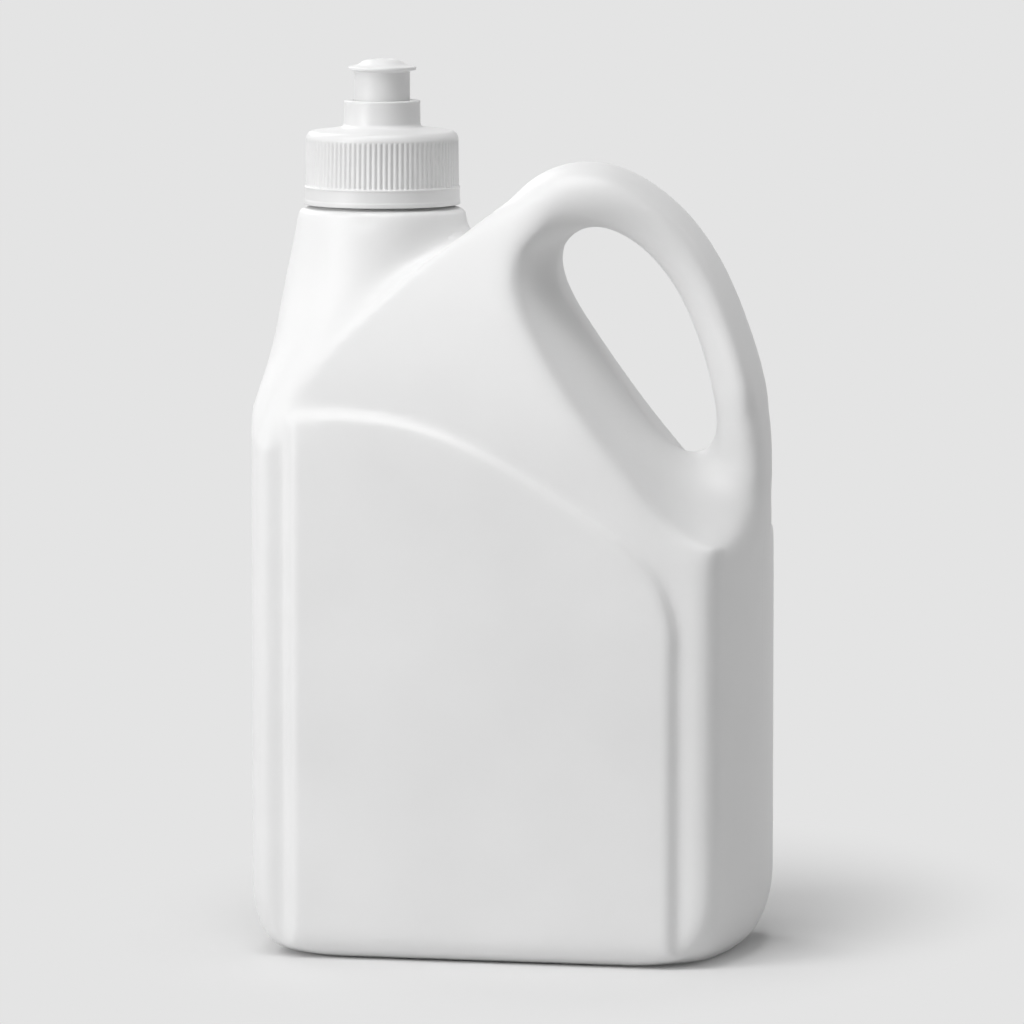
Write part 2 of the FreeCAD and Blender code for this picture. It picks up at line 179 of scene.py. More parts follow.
def bridge(obj: bpy.types.Object, low_mm: float = -math.inf, high_mm: float = math.inf,
           near_mm: float = 0.0) -> None:
    """Bridges the two open loops that lie between two heights.

    Args:
        obj: mesh object.
        low_mm: lowest height.
        high_mm: highest height.
        near_mm: loops nearer to the neck's axis are left out.
    """
    with editing(obj, Pick.EDGES):
        pick(obj, lambda place: low_mm * MM < place.z < high_mm * MM
             and near_mm * MM < from_neck(place), boundary=True)
        bpy.ops.mesh.bridge_edge_loops()


def face_outwards() -> None:
    """Recalculates all normals of the mesh in edit mode, so that they point outwards."""
    bpy.ops.mesh.select_all(action="SELECT")
    bpy.ops.mesh.normals_make_consistent(inside=False)


def new_ring(name: str, sides: int, radius: float) -> bpy.types.Object:
    """Adds an open ring of edges round the origin.

    Args:
        name: name of the object.
        sides: number of edges.
        radius: radius in metres.

    Returns:
        The new object.
    """
    bpy.ops.object.select_all(action="DESELECT")
    bpy.ops.mesh.primitive_circle_add(vertices=sides, radius=radius, fill_type="NOTHING")
    obj = bpy.context.object
    obj.name = obj.data.name = name
    return obj


def move_to_axis(obj: bpy.types.Object, height_mm: float) -> None:
    """Moves a mesh from the origin to the neck's axis, and leaves its object at the origin.

    Args:
        obj: mesh object.
        height_mm: height that the origin's place moves to.
    """
    take(obj)
    obj.location = (NECK_X, 0, height_mm * MM)
    bpy.ops.object.transform_apply(location=True, rotation=True, scale=True)


def new_copy(source: bpy.types.Object, name: str) -> bpy.types.Object:
    """Copies an object's mesh into a new object at the origin.

    Args:
        source: object to copy.
        name: name of the new object.

    Returns:
        The new object.
    """
    obj = bpy.data.objects.new(name, source.data.copy())
    obj.data.name = name
    bpy.context.scene.collection.objects.link(obj)
    return obj


def merged_copy(node: str, name: str) -> bpy.types.Object:
    """Copies a CAD node's mesh into a new object and merges its loose triangles.

    Args:
        node: name of the CAD node.
        name: name of the new object.

    Returns:
        The new object, at the origin.
    """
    obj = new_copy(frame["nodes"][node], name)
    with editing(obj):
        bpy.ops.mesh.select_all(action="SELECT")
        bpy.ops.mesh.remove_doubles(threshold=TINY)
    return obj


def apply_modifier(obj: bpy.types.Object, kind: str, **settings: object) -> None:
    """Adds a modifier with its settings and applies it.

    Args:
        obj: mesh object.
        kind: type of the modifier.
        **settings: properties of the modifier.
    """
    take(obj)
    modifier = obj.modifiers.new(kind.title(), kind)
    for name, value in settings.items():
        setattr(modifier, name, value)
    bpy.ops.object.modifier_apply(modifier=modifier.name)


def join(pieces: list[bpy.types.Object]) -> bpy.types.Object:
    """Joins several objects into the first one.

    Args:
        pieces: objects to join.

    Returns:
        The joined object.
    """
    take(pieces[0])
    for piece in pieces[1:]:
        piece.select_set(True)
    bpy.ops.object.join()
    return pieces[0]


def dress(obj: bpy.types.Object, material: bpy.types.Material, angle: float) -> None:
    """Gives an object its one material and smooth shading.

    Args:
        obj: mesh object.
        material: finish of the whole object.
        angle: edges sharper than this many degrees stay crisp.
    """
    obj.data.materials.clear()
    obj.data.materials.append(material)
    take(obj)
    bpy.ops.object.shade_smooth_by_angle(angle=math.radians(angle))


# ---- finishes ------------------------------------------------------------------------------

NOISE_SPAN = {"From Min": 0.3, "From Max": 0.7}  # most of a noise texture lies between these


@dataclass(frozen=True)
class Finish:
    """A moulded plastic: its near colours, its sheen, and the size of its surface texture.

    The colour drifts and the sheen varies over blotch_mm. The ripple is what the mould leaves.
    """

    name: str
    light: str
    dark: str
    roughness: tuple[float, float]
    ior: float
    blotch_mm: float
    ripple_mm: float
    ripple_depth: float
    subsurface: float = 0.0
    scatter_mm: float = 1.5

    def start(self) -> tuple[bpy.types.Material, bpy.types.Node, bpy.types.NodeSocket]:
        """Makes the shader with its colour drift and its uneven sheen.

        Returns:
            The material, its shader node and the socket with Object coordinates.
        """
        material = bpy.data.materials.new(self.name)
        material.use_nodes = True
        tree = material.node_tree
        shader = tree.nodes["Principled BSDF"]
        shader.inputs["IOR"].default_value = self.ior
        if self.subsurface:
            shader.inputs["Subsurface Weight"].default_value = self.subsurface
            shader.inputs["Subsurface Radius"].default_value = (1.0, 1.0, 1.0)
            shader.inputs["Subsurface Scale"].default_value = self.scatter_mm * MM
        place = add_node(tree, "ShaderNodeTexCoord").outputs["Object"]
        blotch = add_node(tree, "ShaderNodeTexNoise",
                          {"Scale": 1 / (self.blotch_mm * MM), "Detail": 2.0}, {"Vector": place})
        drift = add_node(tree, "ShaderNodeMapRange", NOISE_SPAN, {"Value": blotch.outputs["Fac"]})
        colour = add_node(tree, "ShaderNodeMix",
                          {"data_type": "RGBA", 6: linear(self.dark), 7: linear(self.light)},
                          {0: drift.outputs["Result"]})
        tree.links.new(colour.outputs[2], shader.inputs["Base Color"])
        low, high = self.roughness
        sheen = add_node(tree, "ShaderNodeMapRange", {**NOISE_SPAN, "To Min": low, "To Max": high},
                         {"Value": blotch.outputs["Fac"]})
        tree.links.new(sheen.outputs["Result"], shader.inputs["Roughness"])
        return material, shader, place

    def ripple(self, tree: bpy.types.NodeTree, place: bpy.types.NodeSocket) -> bpy.types.Node:
        """Adds the fine waviness that the mould leaves.

        Args:
            tree: node tree of the material.
            place: socket with Object coordinates.

        Returns:
            The bump node.
        """
        noise = add_node(tree, "ShaderNodeTexNoise",
                         {"Scale": 1 / (self.ripple_mm * MM), "Detail": 3.0, "Roughness": 0.45},
                         {"Vector": place})
        return add_node(tree, "ShaderNodeBump",
                        {"Strength": self.ripple_depth, "Distance": BUMP},
                        {"Height": noise.outputs["Fac"]})

    def material(self) -> bpy.types.Material:
        """Makes the finish with its ripple and nothing else.

        Returns:
            The material.
        """
        material, shader, place = self.start()
        bump = self.ripple(material.node_tree, place)
        material.node_tree.links.new(bump.outputs["Normal"], shader.inputs["Normal"])
        return material


@dataclass(frozen=True)
class BlownFinish(Finish):
    """High-density polyethylene blown in a two-part mould, with the mould's parting line."""

    seam_half_mm: float = 0.45
    seam_height_mm: float = 0.12
    seam_strength: float = 0.6

    def material(self) -> bpy.types.Material:
        """Makes the finish: satin from the blasted mould, with a low ridge where its halves met.

        Returns:
            The material.
        """
        material, shader, place = self.start()
        tree = material.node_tree
        ripple = self.ripple(tree, place)
        across = add_node(tree, "ShaderNodeSeparateXYZ", None, {"Vector": place}).outputs["Y"]
        away = add_node(tree, "ShaderNodeMath", {"operation": "ABSOLUTE"}, {0: across})
        ridge = add_node(tree, "ShaderNodeMapRange",
                         {"interpolation_type": "SMOOTHSTEP", "From Min": 0.0,
                          "From Max": self.seam_half_mm * MM, "To Min": 1.0, "To Max": 0.0},
                         {"Value": away.outputs["Value"]})
        seam = add_node(tree, "ShaderNodeBump",
                        {"Strength": self.seam_strength, "Distance": self.seam_height_mm * MM},
                        {"Height": ridge.outputs["Result"], "Normal": ripple.outputs["Normal"]})
        tree.links.new(seam.outputs["Normal"], shader.inputs["Normal"])
        return material


@dataclass(frozen=True)
class FoamFinish(Finish):
    """Expanded polyethylene sheet with the skin of small closed cells."""

    cell_mm: float = 0.45
    cell_depth: float = 0.5

    def material(self) -> bpy.types.Material:
        """Makes the finish: matt, pitted by its cut cells.

        Returns:
            The material.
        """
        material, shader, place = self.start()
        tree = material.node_tree
        cells = add_node(tree, "ShaderNodeTexVoronoi", {"Scale": 1 / (self.cell_mm * MM)},
                         {"Vector": place})
        bump = add_node(tree, "ShaderNodeBump", {"Strength": self.cell_depth, "Distance": BUMP},
                        {"Height": cells.outputs["Distance"]})
        tree.links.new(bump.outputs["Normal"], shader.inputs["Normal"])
        return material


# white blown HDPE: satin, a little translucent, so its highlights are broad and its shade soft
BLOWN_HDPE = BlownFinish("blown_hdpe", light="#E9E9E9", dark="#E4E4E4", roughness=(0.40, 0.47),
                         ior=1.53, blotch_mm=45.0, ripple_mm=2.6, ripple_depth=0.10,
                         subsurface=0.06)
# injection-moulded polypropylene: harder and a little glossier than the bottle
MOULDED_PP = Finish("moulded_polypropylene", light="#E6E6E6", dark="#E1E1E1",
                    roughness=(0.34, 0.40), ior=1.49, blotch_mm=18.0, ripple_mm=1.2,
                    ripple_depth=0.05)
# low-density polyethylene: waxy and soft to the eye, smoother than the cap
MOULDED_LDPE = Finish("moulded_ldpe", light="#E6E6E6", dark="#E2E2E2", roughness=(0.36, 0.42),
                      ior=1.51, blotch_mm=12.0, ripple_mm=1.6, ripple_depth=0.05, subsurface=0.05)
# expanded polyethylene foam: quite matt, with cells of about half a millimetre
FOAMED_PE = FoamFinish("expanded_polyethylene_foam", light="#DEDEDA", dark="#D2D2CE",
                       roughness=(0.80, 0.88), ior=1.50, blotch_mm=6.0, ripple_mm=1.0,
                       ripple_depth=0.0)


# ---- how blown plastic softens -------------------------------------------------------------

def ease(value: float, over: float) -> float:
    """Rises softly from 0 to 1 as a value goes from 0 to a given length."""
    share = min(max(value / over, 0.0), 1.0)
    return share * share * (3.0 - 2.0 * share)


def front_depth(z: float) -> float:
    """Gives how far the bottle's front stands from its middle: upright, then leaning back.

    Args:
        z: height in mm.

    Returns:
        The half depth in mm.
    """
    flat, lean_from, lean_r = 38.7, 132.0, 135.0
    if z <= lean_from:
        return flat
    return flat - lean_r + math.sqrt(lean_r ** 2 - (z - lean_from) ** 2)


def run_distance(x: float, z: float, run: tuple[tuple[float, float], ...]) -> float:
    """Gives how far a place in the front view is from a run of straight pieces.

    Args:
        x: place across.
        z: height of the place.
        run: corners of the run.

    Returns:
        The shortest distance, in the unit of the places.
    """
    nearest = math.inf
    for (x0, z0), (x1, z1) in zip(run, run[1:]):
        along = ((x - x0) * (x1 - x0) + (z - z0) * (z1 - z0)) / ((x1 - x0) ** 2 + (z1 - z0) ** 2)
        along = min(max(along, 0.0), 1.0)
        nearest = min(nearest, math.hypot(x - x0 - (x1 - x0) * along, z - z0 - (z1 - z0) * along))
    return nearest


@dataclass(frozen=True)
class Box:
    """A box of the bottle, in mm, that is smoothed in passes which fade out round it."""

    low: tuple[float, float, float]
    high: tuple[float, float, float]
    fade: float
    passes: int

    def weight(self, place: Vector) -> float:
        """Weighs a place: 1 inside the box, fading to 0 round it."""
        out = [max(l * MM - c, c - h * MM, 0.0) for c, l, h in zip(place, self.low, self.high)]
        return ease(self.fade - math.sqrt(sum(d * d for d in out)) / MM, self.fade)


@dataclass(frozen=True)
class Valley:
    """The valley between the shoulder and the crease over the front and the back, in mm.

    It lies over the crease, up to width from it, and inside the front and the back.
    """

    crease: tuple[tuple[float, float], ...] = ((-60.0, 128.0), (-52.6, 140.0), (-37.5, 168.0),
                                               (-22.2, 182.8), (-6.0, 195.6), (2.0, 202.0),
                                               (30.0, 224.0))
    span: tuple[float, float] = (-58.0, 6.0)
    lowest: float = 146.0
    width: float = 15.0
    width_fade: float = 6.0
    under_crease: float = 1.5
    crease_fade: float = 2.0
    off_front: float = 0.6
    front_fade: float = 2.0
    top: float = 195.0
    top_fade: float = 4.0
    passes: int = 70

    def weight(self, place: Vector) -> float:
        """Weighs a place on the skin.

        Args:
            place: the place.

        Returns:
            1 in the valley, fading to 0 at the crease, on the shoulder and on the front and back.
        """
        x, z = place.x / MM, place.z / MM
        if not self.span[0] < x < self.span[1] or z < self.lowest:
            return 0.0
        for (x0, z0), (x1, z1) in zip(self.crease, self.crease[1:]):
            if x0 <= x < x1:
                above = z - z0 - (z1 - z0) * (x - x0) / (x1 - x0)
        inside = front_depth(z) - abs(place.y) / MM
        return (ease(above + self.under_crease, self.crease_fade)
                * ease(self.width - above, self.width_fade)
                * ease(inside - self.off_front, self.front_fade)
                * ease(self.top - z, self.top_fade))


@dataclass(frozen=True)
class RecessEdge:
    """The long edge of the hand recess beside the handle, in mm, from its foot to its top."""

    run: tuple[tuple[float, float], ...] = ((52.3, 116.6), (42.9, 126.6), (32.6, 138.5),
                                            (22.8, 150.7), (13.7, 164.0), (6.9, 176.2),
                                            (4.8, 184.2), (6.8, 191.4), (12.0, 197.0))
    span: tuple[float, float] = (-12.0, 68.0)
    lowest: float = 102.0
    reach: float = 13.0
    fade: float = 6.0
    passes: int = 60

    def weight(self, place: Vector) -> float:
        """Weighs a place by how near it is to the edge.

        Args:
            place: the place.

        Returns:
            1 near the edge, fading to 0 at its reach.
        """
        x, z = place.x / MM, place.z / MM
        if not self.span[0] < x < self.span[1] or z < self.lowest:
            return 0.0
        return ease(self.reach - run_distance(x, z, self.run), self.fade)


class Softening(Enum):
    """Places where the blown skin stretches over the mould in its own way, in smoothing order."""

    VALLEY = Valley()
    RECESS = RecessEdge()
    HANDLE_ROOT = Box((0.0, -40.0, 190.0), (20.0, 40.0, 212.0), fade=10.0, passes=24)
    SCOOP = Box((46.0, -45.0, 106.0), (72.0, 45.0, 130.0), fade=8.0, passes=10)
    HANDLE_FOOT = Box((40.0, -28.0, 127.0), (66.0, 28.0, 144.0), fade=8.0, passes=80)
    HANDLE_SIDE = Box((63.0, -26.0, 104.0), (76.0, 26.0, 122.0), fade=7.0, passes=60)
    PANEL_CORNER = Box((-56.0, -45.0, 141.0), (-47.0, 45.0, 150.0), fade=5.0, passes=20)


# ---- turned forms --------------------------------------------------------------------------

@dataclass(frozen=True)
class Corner:
    """A corner of a turned profile: its radius and height, and how far it is rounded, in mm."""

    radius: float
    height: float
    rounding: float = 0.0


@dataclass
class Turning:
    """Builds turned forms round the neck's axis, ring by ring."""

    sides: int
    arc_steps: int = 4

    def rings(self, corners: list[Corner]) -> list[tuple[float, float]]:
        """Turns the corners into rings, with an arc of rings at each rounded corner.

        Args:
            corners: the profile.

        Returns:
            Radius and height of each ring, in millimetres.
        """
        result: list[tuple[float, float]] = []
        for i, corner in enumerate(corners):
            here = Vector((corner.radius, corner.height))
            if not corner.rounding:
                result.append(tuple(here))
                continue
            before = Vector((corners[i - 1].radius, corners[i - 1].height)) - here
            after_corner = corners[(i + 1) % len(corners)]
            after = Vector((after_corner.radius, after_corner.height)) - here
            start = here + before.normalized() * corner.rounding
            end = here + after.normalized() * corner.rounding
            for step in range(self.arc_steps + 1):
                t = step / self.arc_steps
                result.append(tuple(start * (1 - t) ** 2 + here * 2 * t * (1 - t) + end * t ** 2))
        return result

    def build(self, name: str, corners: list[Corner], closed: bool) -> bpy.types.Object:
        """Extrudes a ring of edges along the profile.

        Args:
            name: name of the object.
            corners: the profile.
            closed: joins the last ring to the first.

        Returns:
            The new object.
        """
        rings = self.rings(corners)
        radius, height = rings[0]
        obj = new_ring(name, self.sides, radius * MM)
        move_to_axis(obj, height)
        with editing(obj, Pick.EDGES):
            bpy.ops.mesh.select_all(action="SELECT")
            for next_radius, next_height in rings[1:]:
                bpy.ops.mesh.extrude_edges_move(
                    TRANSFORM_OT_translate={"value": (0, 0, (next_height - height) * MM)})
                share = next_radius / radius
                bpy.ops.transform.resize(value=(share, share, 1), center_override=(NECK_X, 0, 0))
                radius, height = next_radius, next_height
        if closed:
            bridge(obj)
            with editing(obj):
                face_outwards()
        return obj


# ---- the bottle ----------------------------------------------------------------------------

@dataclass
class Bottle:
    """The blown bottle: its outer skin, the neck finish and the wall's inner side.

    The skin ends at seam_z_mm under the cap and the inner side at inner_top_mm. The neck starts
    neck_gap_mm over the skin's edge, and both gaps are bridged.
    """

    voxel_mm: float = 1.15
    passes: int = 5
    panel_passes: int = 1
    panel_depth_mm: float = 35.5
    panel_top_mm: float = 152.0
    foot_mm: float = 5.0
    rim_mm: float = 197.0
    shoulder_mm: float = 190.0
    stub_top_mm: float = 202.6
    seam_z_mm: float = 201.3
    wall_mm: float = 1.2
    inner_voxel_mm: float = 3.6
    inner_top_mm: float = 198.5
    neck_sides: int = 128
    neck_r_mm: float = 17.5
    bore_r_mm: float = 15.6
    neck_top_mm: float = 216.0
    neck_gap_mm: float = 0.3
    pitch_mm: float = 25.4 / 6
    thread_turns: float = 1.5
    thread_z_mm: float = 204.0
    thread_section: tuple[tuple[float, float], ...] = ((17.25, -0.89), (18.7, -0.34),
                                                       (18.7, 0.34), (17.25, 0.89))
    crisp_angle: float = 50.0
    finish: Finish = BLOWN_HDPE

    def outer_form(self) -> bpy.types.Object:
        """Takes the outer side of the CAD bottle up to the neck, closed over.

        Returns:
            A closed object without a wall.
        """
        obj = merged_copy("bottle", "bottle_skin")
        shoulder = self.shoulder_mm * MM
        standing = 0.1 * MM  # only the outer side reaches down to the floor
        with editing(obj):
            pick(obj, lambda place: from_neck(place) < NECK_REACH and place.z > shoulder)
            bpy.ops.mesh.bisect(plane_co=(0, 0, self.stub_top_mm * MM), plane_no=(0, 0, 1),
                                clear_outer=True)
            pick(obj, lambda place: place.z < standing)
            bpy.ops.mesh.select_linked()
            bpy.ops.mesh.select_all(action="INVERT")
            bpy.ops.mesh.delete(type="VERT")
            bpy.ops.mesh.select_non_manifold()
            bpy.ops.mesh.edge_face_add()
            bpy.ops.mesh.select_all(action="SELECT")
            bpy.ops.mesh.quads_convert_to_tris()
            face_outwards()
        return obj

    def weigh(self, obj: bpy.types.Object, name: str, weight: Callable[[Vector], float]) -> str:
        """Writes a vertex group from a rule.

        Args:
            obj: mesh object.
            name: name of the group.
            weight: gives a vertex's weight from its place.

        Returns:
            The name of the group.
        """
        group = obj.vertex_groups.new(name=name)
        for vert in obj.data.vertices:
            share = weight(vert.co)
            if share > 0.0:
                group.add([vert.index], share, "REPLACE")
        return group.name

    def keeps_edge(self, place: Vector) -> bool:
        """Tells whether a place keeps its edges when the whole skin is smoothed.

        Args:
            place: place on the skin.

        Returns:
            True on the front's and the back's panels, at the foot, and on the rim under the cap.
        """
        on_panel = abs(place.y) > self.panel_depth_mm * MM and place.z < self.panel_top_mm * MM
        on_rim = place.z > self.rim_mm * MM and from_neck(place) < NECK_REACH
        return on_panel or on_rim or place.z < self.foot_mm * MM

    def smooth(self, obj: bpy.types.Object, passes: int, group: str = "") -> None:
        """Smooths a mesh, all over or by the weights of a vertex group."""
        apply_modifier(obj, "SMOOTH", factor=0.5, iterations=passes, vertex_group=group)

    def soften(self, obj: bpy.types.Object) -> None:
        """Rounds the form's edges as blown plastic rounds them, most at the ends of the handle.

        Args:
            obj: the skin, already one even mesh.
        """
        free = self.weigh(obj, "free", lambda place: 0.0 if self.keeps_edge(place) else 1.0)
        self.smooth(obj, self.panel_passes)
        self.smooth(obj, self.passes - self.panel_passes, free)
        for area in Softening:
            group = self.weigh(obj, area.name.lower(), area.value.weight)
            self.smooth(obj, area.value.passes, group)
        obj.vertex_groups.clear()

    def remesh(self, obj: bpy.types.Object, voxel_mm: float) -> None:
        """Makes a closed form one even mesh."""
        apply_modifier(obj, "REMESH", mode="VOXEL", voxel_size=voxel_mm * MM, use_smooth_shade=True)

    def skin(self) -> bpy.types.Object:
        """Makes the outer skin, still closed over at the neck.

        Returns:
            The skin.
        """
        obj = self.outer_form()
        self.remesh(obj, self.voxel_mm)
        self.soften(obj)
        return obj

    def inner_side(self, skin: bpy.types.Object) -> bpy.types.Object:
        """Makes the wall's inner side from the closed skin.

        Args:
            skin: the outer skin, before it is opened.

        Returns:
            The inner side, facing inwards and open at the neck.
        """
        obj = new_copy(skin, "bottle_inside")
        apply_modifier(obj, "DISPLACE", strength=-self.wall_mm * MM, mid_level=0.0)
        self.remesh(obj, self.inner_voxel_mm)
        self.open_top(obj, self.inner_top_mm)
        with editing(obj):
            bpy.ops.mesh.select_all(action="SELECT")
            bpy.ops.mesh.flip_normals()
        return obj

    def open_top(self, obj: bpy.types.Object, height_mm: float) -> None:
        """Cuts off everything above a height, which opens the form at the neck.

        Args:
            obj: closed form.
            height_mm: height of the cut.
        """
        edge = height_mm * MM
        below = 4 * MM  # more than a voxel, so every face that the cut crosses is taken
        with editing(obj):
            pick(obj, lambda place: from_neck(place) < NECK_REACH and place.z > edge - below)
            bpy.ops.mesh.bisect(plane_co=(0, 0, edge), plane_no=(0, 0, 1), threshold=TINY)
            pick(obj, lambda place: from_neck(place) < NECK_REACH and place.z > edge + TINY)
            bpy.ops.mesh.delete(type="VERT")

    def neck_thread(self) -> bpy.types.Object:
        """Winds the thread's rib up round the neck.

        Returns:
            The closed rib, which reaches a little into the neck.
        """
        obj = new_ring("neck_thread", len(self.thread_section), MM)
        for vert, (radius, height) in zip(obj.data.vertices, self.thread_section):
            vert.co = (radius * MM, 0, height * MM)
        steps = round(self.neck_sides * self.thread_turns)
        apply_modifier(obj, "SCREW", angle=2 * math.pi * self.thread_turns,
                       screw_offset=self.pitch_mm * self.thread_turns * MM,
                       steps=steps, render_steps=steps)
        with editing(obj):
            bpy.ops.mesh.select_all(action="SELECT")
            bpy.ops.mesh.fill_holes(sides=len(self.thread_section))
            face_outwards()
        move_to_axis(obj, self.thread_z_mm)
        return obj

    def neck_finish(self) -> list[bpy.types.Object]:
        """Turns the neck above the seam, open below, and winds its thread.

        Returns:
            The neck and its thread.
        """
        profile = [Corner(self.neck_r_mm, self.seam_z_mm + self.neck_gap_mm),
                   Corner(self.neck_r_mm, self.neck_top_mm, 0.8),
                   Corner(self.bore_r_mm, self.neck_top_mm, 0.2),
                   Corner(self.bore_r_mm, self.seam_z_mm)]
        neck = Turning(self.neck_sides).build("bottle_neck", profile, closed=False)
        return [neck, self.neck_thread()]

    def build(self) -> bpy.types.Object:
        """Builds the bottle as one closed object: skin to neck, and neck to inner side.

        Returns:
            The finished bottle.
        """
        skin = self.skin()
        inside = self.inner_side(skin)
        self.open_top(skin, self.seam_z_mm)
        obj = join([skin, inside, *self.neck_finish()])
        gap = self.neck_gap_mm
        middle_r = (self.neck_r_mm + self.bore_r_mm) / 2
        bridge(obj, self.seam_z_mm - gap, self.seam_z_mm + 2 * gap, middle_r)
        bridge(obj, self.inner_top_mm - gap, self.seam_z_mm + gap)
        dress(obj, self.finish.material(), self.crisp_angle)
        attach(obj, "bottle")
        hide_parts("bottle")
        return obj


# ---- the closure ---------------------------------------------------------------------------

@dataclass
class Cap:
    """The screw cap: its ribbed skin, over the thread, post and pin of the CAD cap.

    Each rib is rib_sides lines wide. The skin takes the place of all that lies further out than
    the skirt's bore, of the deck outside the collar, and of the collar's lip. It meets the inner
    parts between the heights of joins_mm.
    """

    ribs: int = 90
    rib_sides: int = 6
    rib_depth_mm: float = 0.42
    rib_low_mm: float = 204.6
    rib_high_mm: float = 216.8
    rib_r_mm: float = 20.0
    skirt_r_mm: float = 20.8
    skirt_bore_r_mm: float = 19.97
    deck_mm: float = 217.3
    collar_r_mm: float = 10.1
    lip_mm: float = 227.25
    lip_r_mm: float = 7.6
    joins_mm: tuple[tuple[float, float], ...] = ((199.0, 201.0), (226.5, 227.6))
    crisp_angle: float = 38.0
    finish: Finish = MOULDED_PP

    def profile(self) -> list[Corner]:
        """Gives the outside of the cap from the rim to the lip of its collar.

        Returns:
            The corners of the profile.
        """
        rim = [Corner(19.95, 199.6), Corner(21.0, 199.6, 0.25), Corner(21.0, 200.7, 0.15)]
        band = [Corner(20.85, 201.0, 0.1), Corner(20.85, 203.9, 0.1), Corner(21.0, 204.1, 0.1),
                Corner(21.0, 204.4, 0.12), Corner(20.66, 204.6)]
        skirt = [Corner(20.64, 205.0), Corner(20.52, 216.4), Corner(20.5, 216.9),
                 Corner(20.48, 217.4, 0.15)]
        deck = [Corner(20.0, 219.2, 1.5), Corner(11.0, 220.3, 0.5), Corner(10.3, 221.0, 0.4)]
        collar = [Corner(10.25, 226.4), Corner(10.3, 227.5, 0.45), Corner(8.0, 227.5, 0.2),
                  Corner(7.7, 227.2)]
        return rim + band + skirt + deck + collar

    def cut_ribs(self, obj: bpy.types.Object) -> None:
        """Draws in the grooves between the ribs, which run out at both ends.

        Args:
            obj: the skin.
        """
        # how deep each of a rib's lines lies: the groove's bottom, its sides and the rib's edges
        shares = {0: 1.0, 1: 0.55, 5: 0.55, 2: 0.08, 4: 0.08}
        step = 2 * math.pi / (self.ribs * self.rib_sides)

        def line(place: Vector) -> int:
            """Gives the number of the line that a place is on, within its rib."""
            return round(math.atan2(place.y, place.x - NECK_X) / step) % self.rib_sides

        for number, share in shares.items():
            with editing(obj):
                pick(obj, lambda place: self.rib_low_mm * MM < place.z < self.rib_high_mm * MM
                     and from_neck(place) > self.rib_r_mm * MM and line(place) == number)
                factor = 1 - self.rib_depth_mm * share / self.skirt_r_mm
                bpy.ops.transform.resize(value=(factor, factor, 1), center_override=(NECK_X, 0, 0))

    def is_skin(self, place: Vector) -> bool:
        """Tells whether a place is on the outside of the CAD cap, which the skin replaces."""
        r, z = from_neck(place) / MM, place.z / MM
        return (r > self.skirt_bore_r_mm or (z > self.deck_mm and r > self.collar_r_mm)
                or (z > self.lip_mm and r > self.lip_r_mm))

    def inner_parts(self) -> bpy.types.Object:
        """Takes the thread, the bore of the collar, the post and the pin from the CAD cap.

        Returns:
            The inner parts, open where the skin joins them.
        """
        obj = merged_copy("cap", "cap_inside")
        with editing(obj, Pick.FACES):
            mesh = bmesh.from_edit_mesh(obj.data)
            for face in mesh.faces:
                face.select = self.is_skin(face.calc_center_median())
            bmesh.update_edit_mesh(obj.data)
            bpy.ops.mesh.delete(type="FACE")
        return obj

    def build(self) -> bpy.types.Object:
        """Builds the cap as one closed object.

        Returns:
            The finished cap.
        """
        turning = Turning(self.ribs * self.rib_sides)
        skin = turning.build("cap_skin", self.profile(), closed=False)
        self.cut_ribs(skin)
        obj = join([skin, self.inner_parts()])
        for low_mm, high_mm in self.joins_mm:
            bridge(obj, low_mm, high_mm)
        dress(obj, self.finish.material(), self.crisp_angle)
        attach(obj, "cap")
        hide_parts("cap")
        return obj


@dataclass
class Spout:
    """The push-pull spout: a sleeve with a waist, a thin flange and a domed mouth."""

    sides: int = 128
    crisp_angle: float = 35.0
    finish: Finish = MOULDED_LDPE

    def profile(self) -> list[Corner]:
        """Gives the whole section of the spout, outside and inside.

        Returns:
            The corners of the profile.
        """
        foot = [Corner(5.3, 219.6), Corner(8.2, 219.6, 0.15), Corner(8.2, 220.7, 0.1)]
        sleeve = [Corner(7.5, 221.1), Corner(7.5, 235.3, 0.35)]
        flange = [Corner(9.0, 235.6, 0.2), Corner(9.2, 235.9, 0.15), Corner(9.2, 236.5, 0.3)]
        dome = [Corner(6.6, 237.0, 0.8), Corner(5.0, 238.1, 0.6), Corner(3.2, 238.6, 0.4)]
        mouth = [Corner(2.5, 238.0), Corner(2.5, 234.8), Corner(5.3, 232.2)]
        return foot + sleeve + flange + dome + mouth

    def build(self) -> bpy.types.Object:
        """Builds the spout.

        Returns:
            The finished spout.
        """
        obj = Turning(self.sides).build("spout_sleeve", self.profile(), closed=True)
        dress(obj, self.finish.material(), self.crisp_angle)
        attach(obj, "spout")
        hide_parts("spout")
        return obj


@dataclass
class SealLiner:
    """The plain foam ring, which keeps its CAD shape."""

    finish: Finish = FOAMED_PE

    def build(self) -> bpy.types.Object:
        """Gives the CAD ring its foam.

        Returns:
            The CAD node.
        """
        node = frame["nodes"]["seal_liner"]
        node.data.materials.clear()
        node.data.materials.append(self.finish.material())
        return node


# ---- studio --------------------------------------------------------------------------------

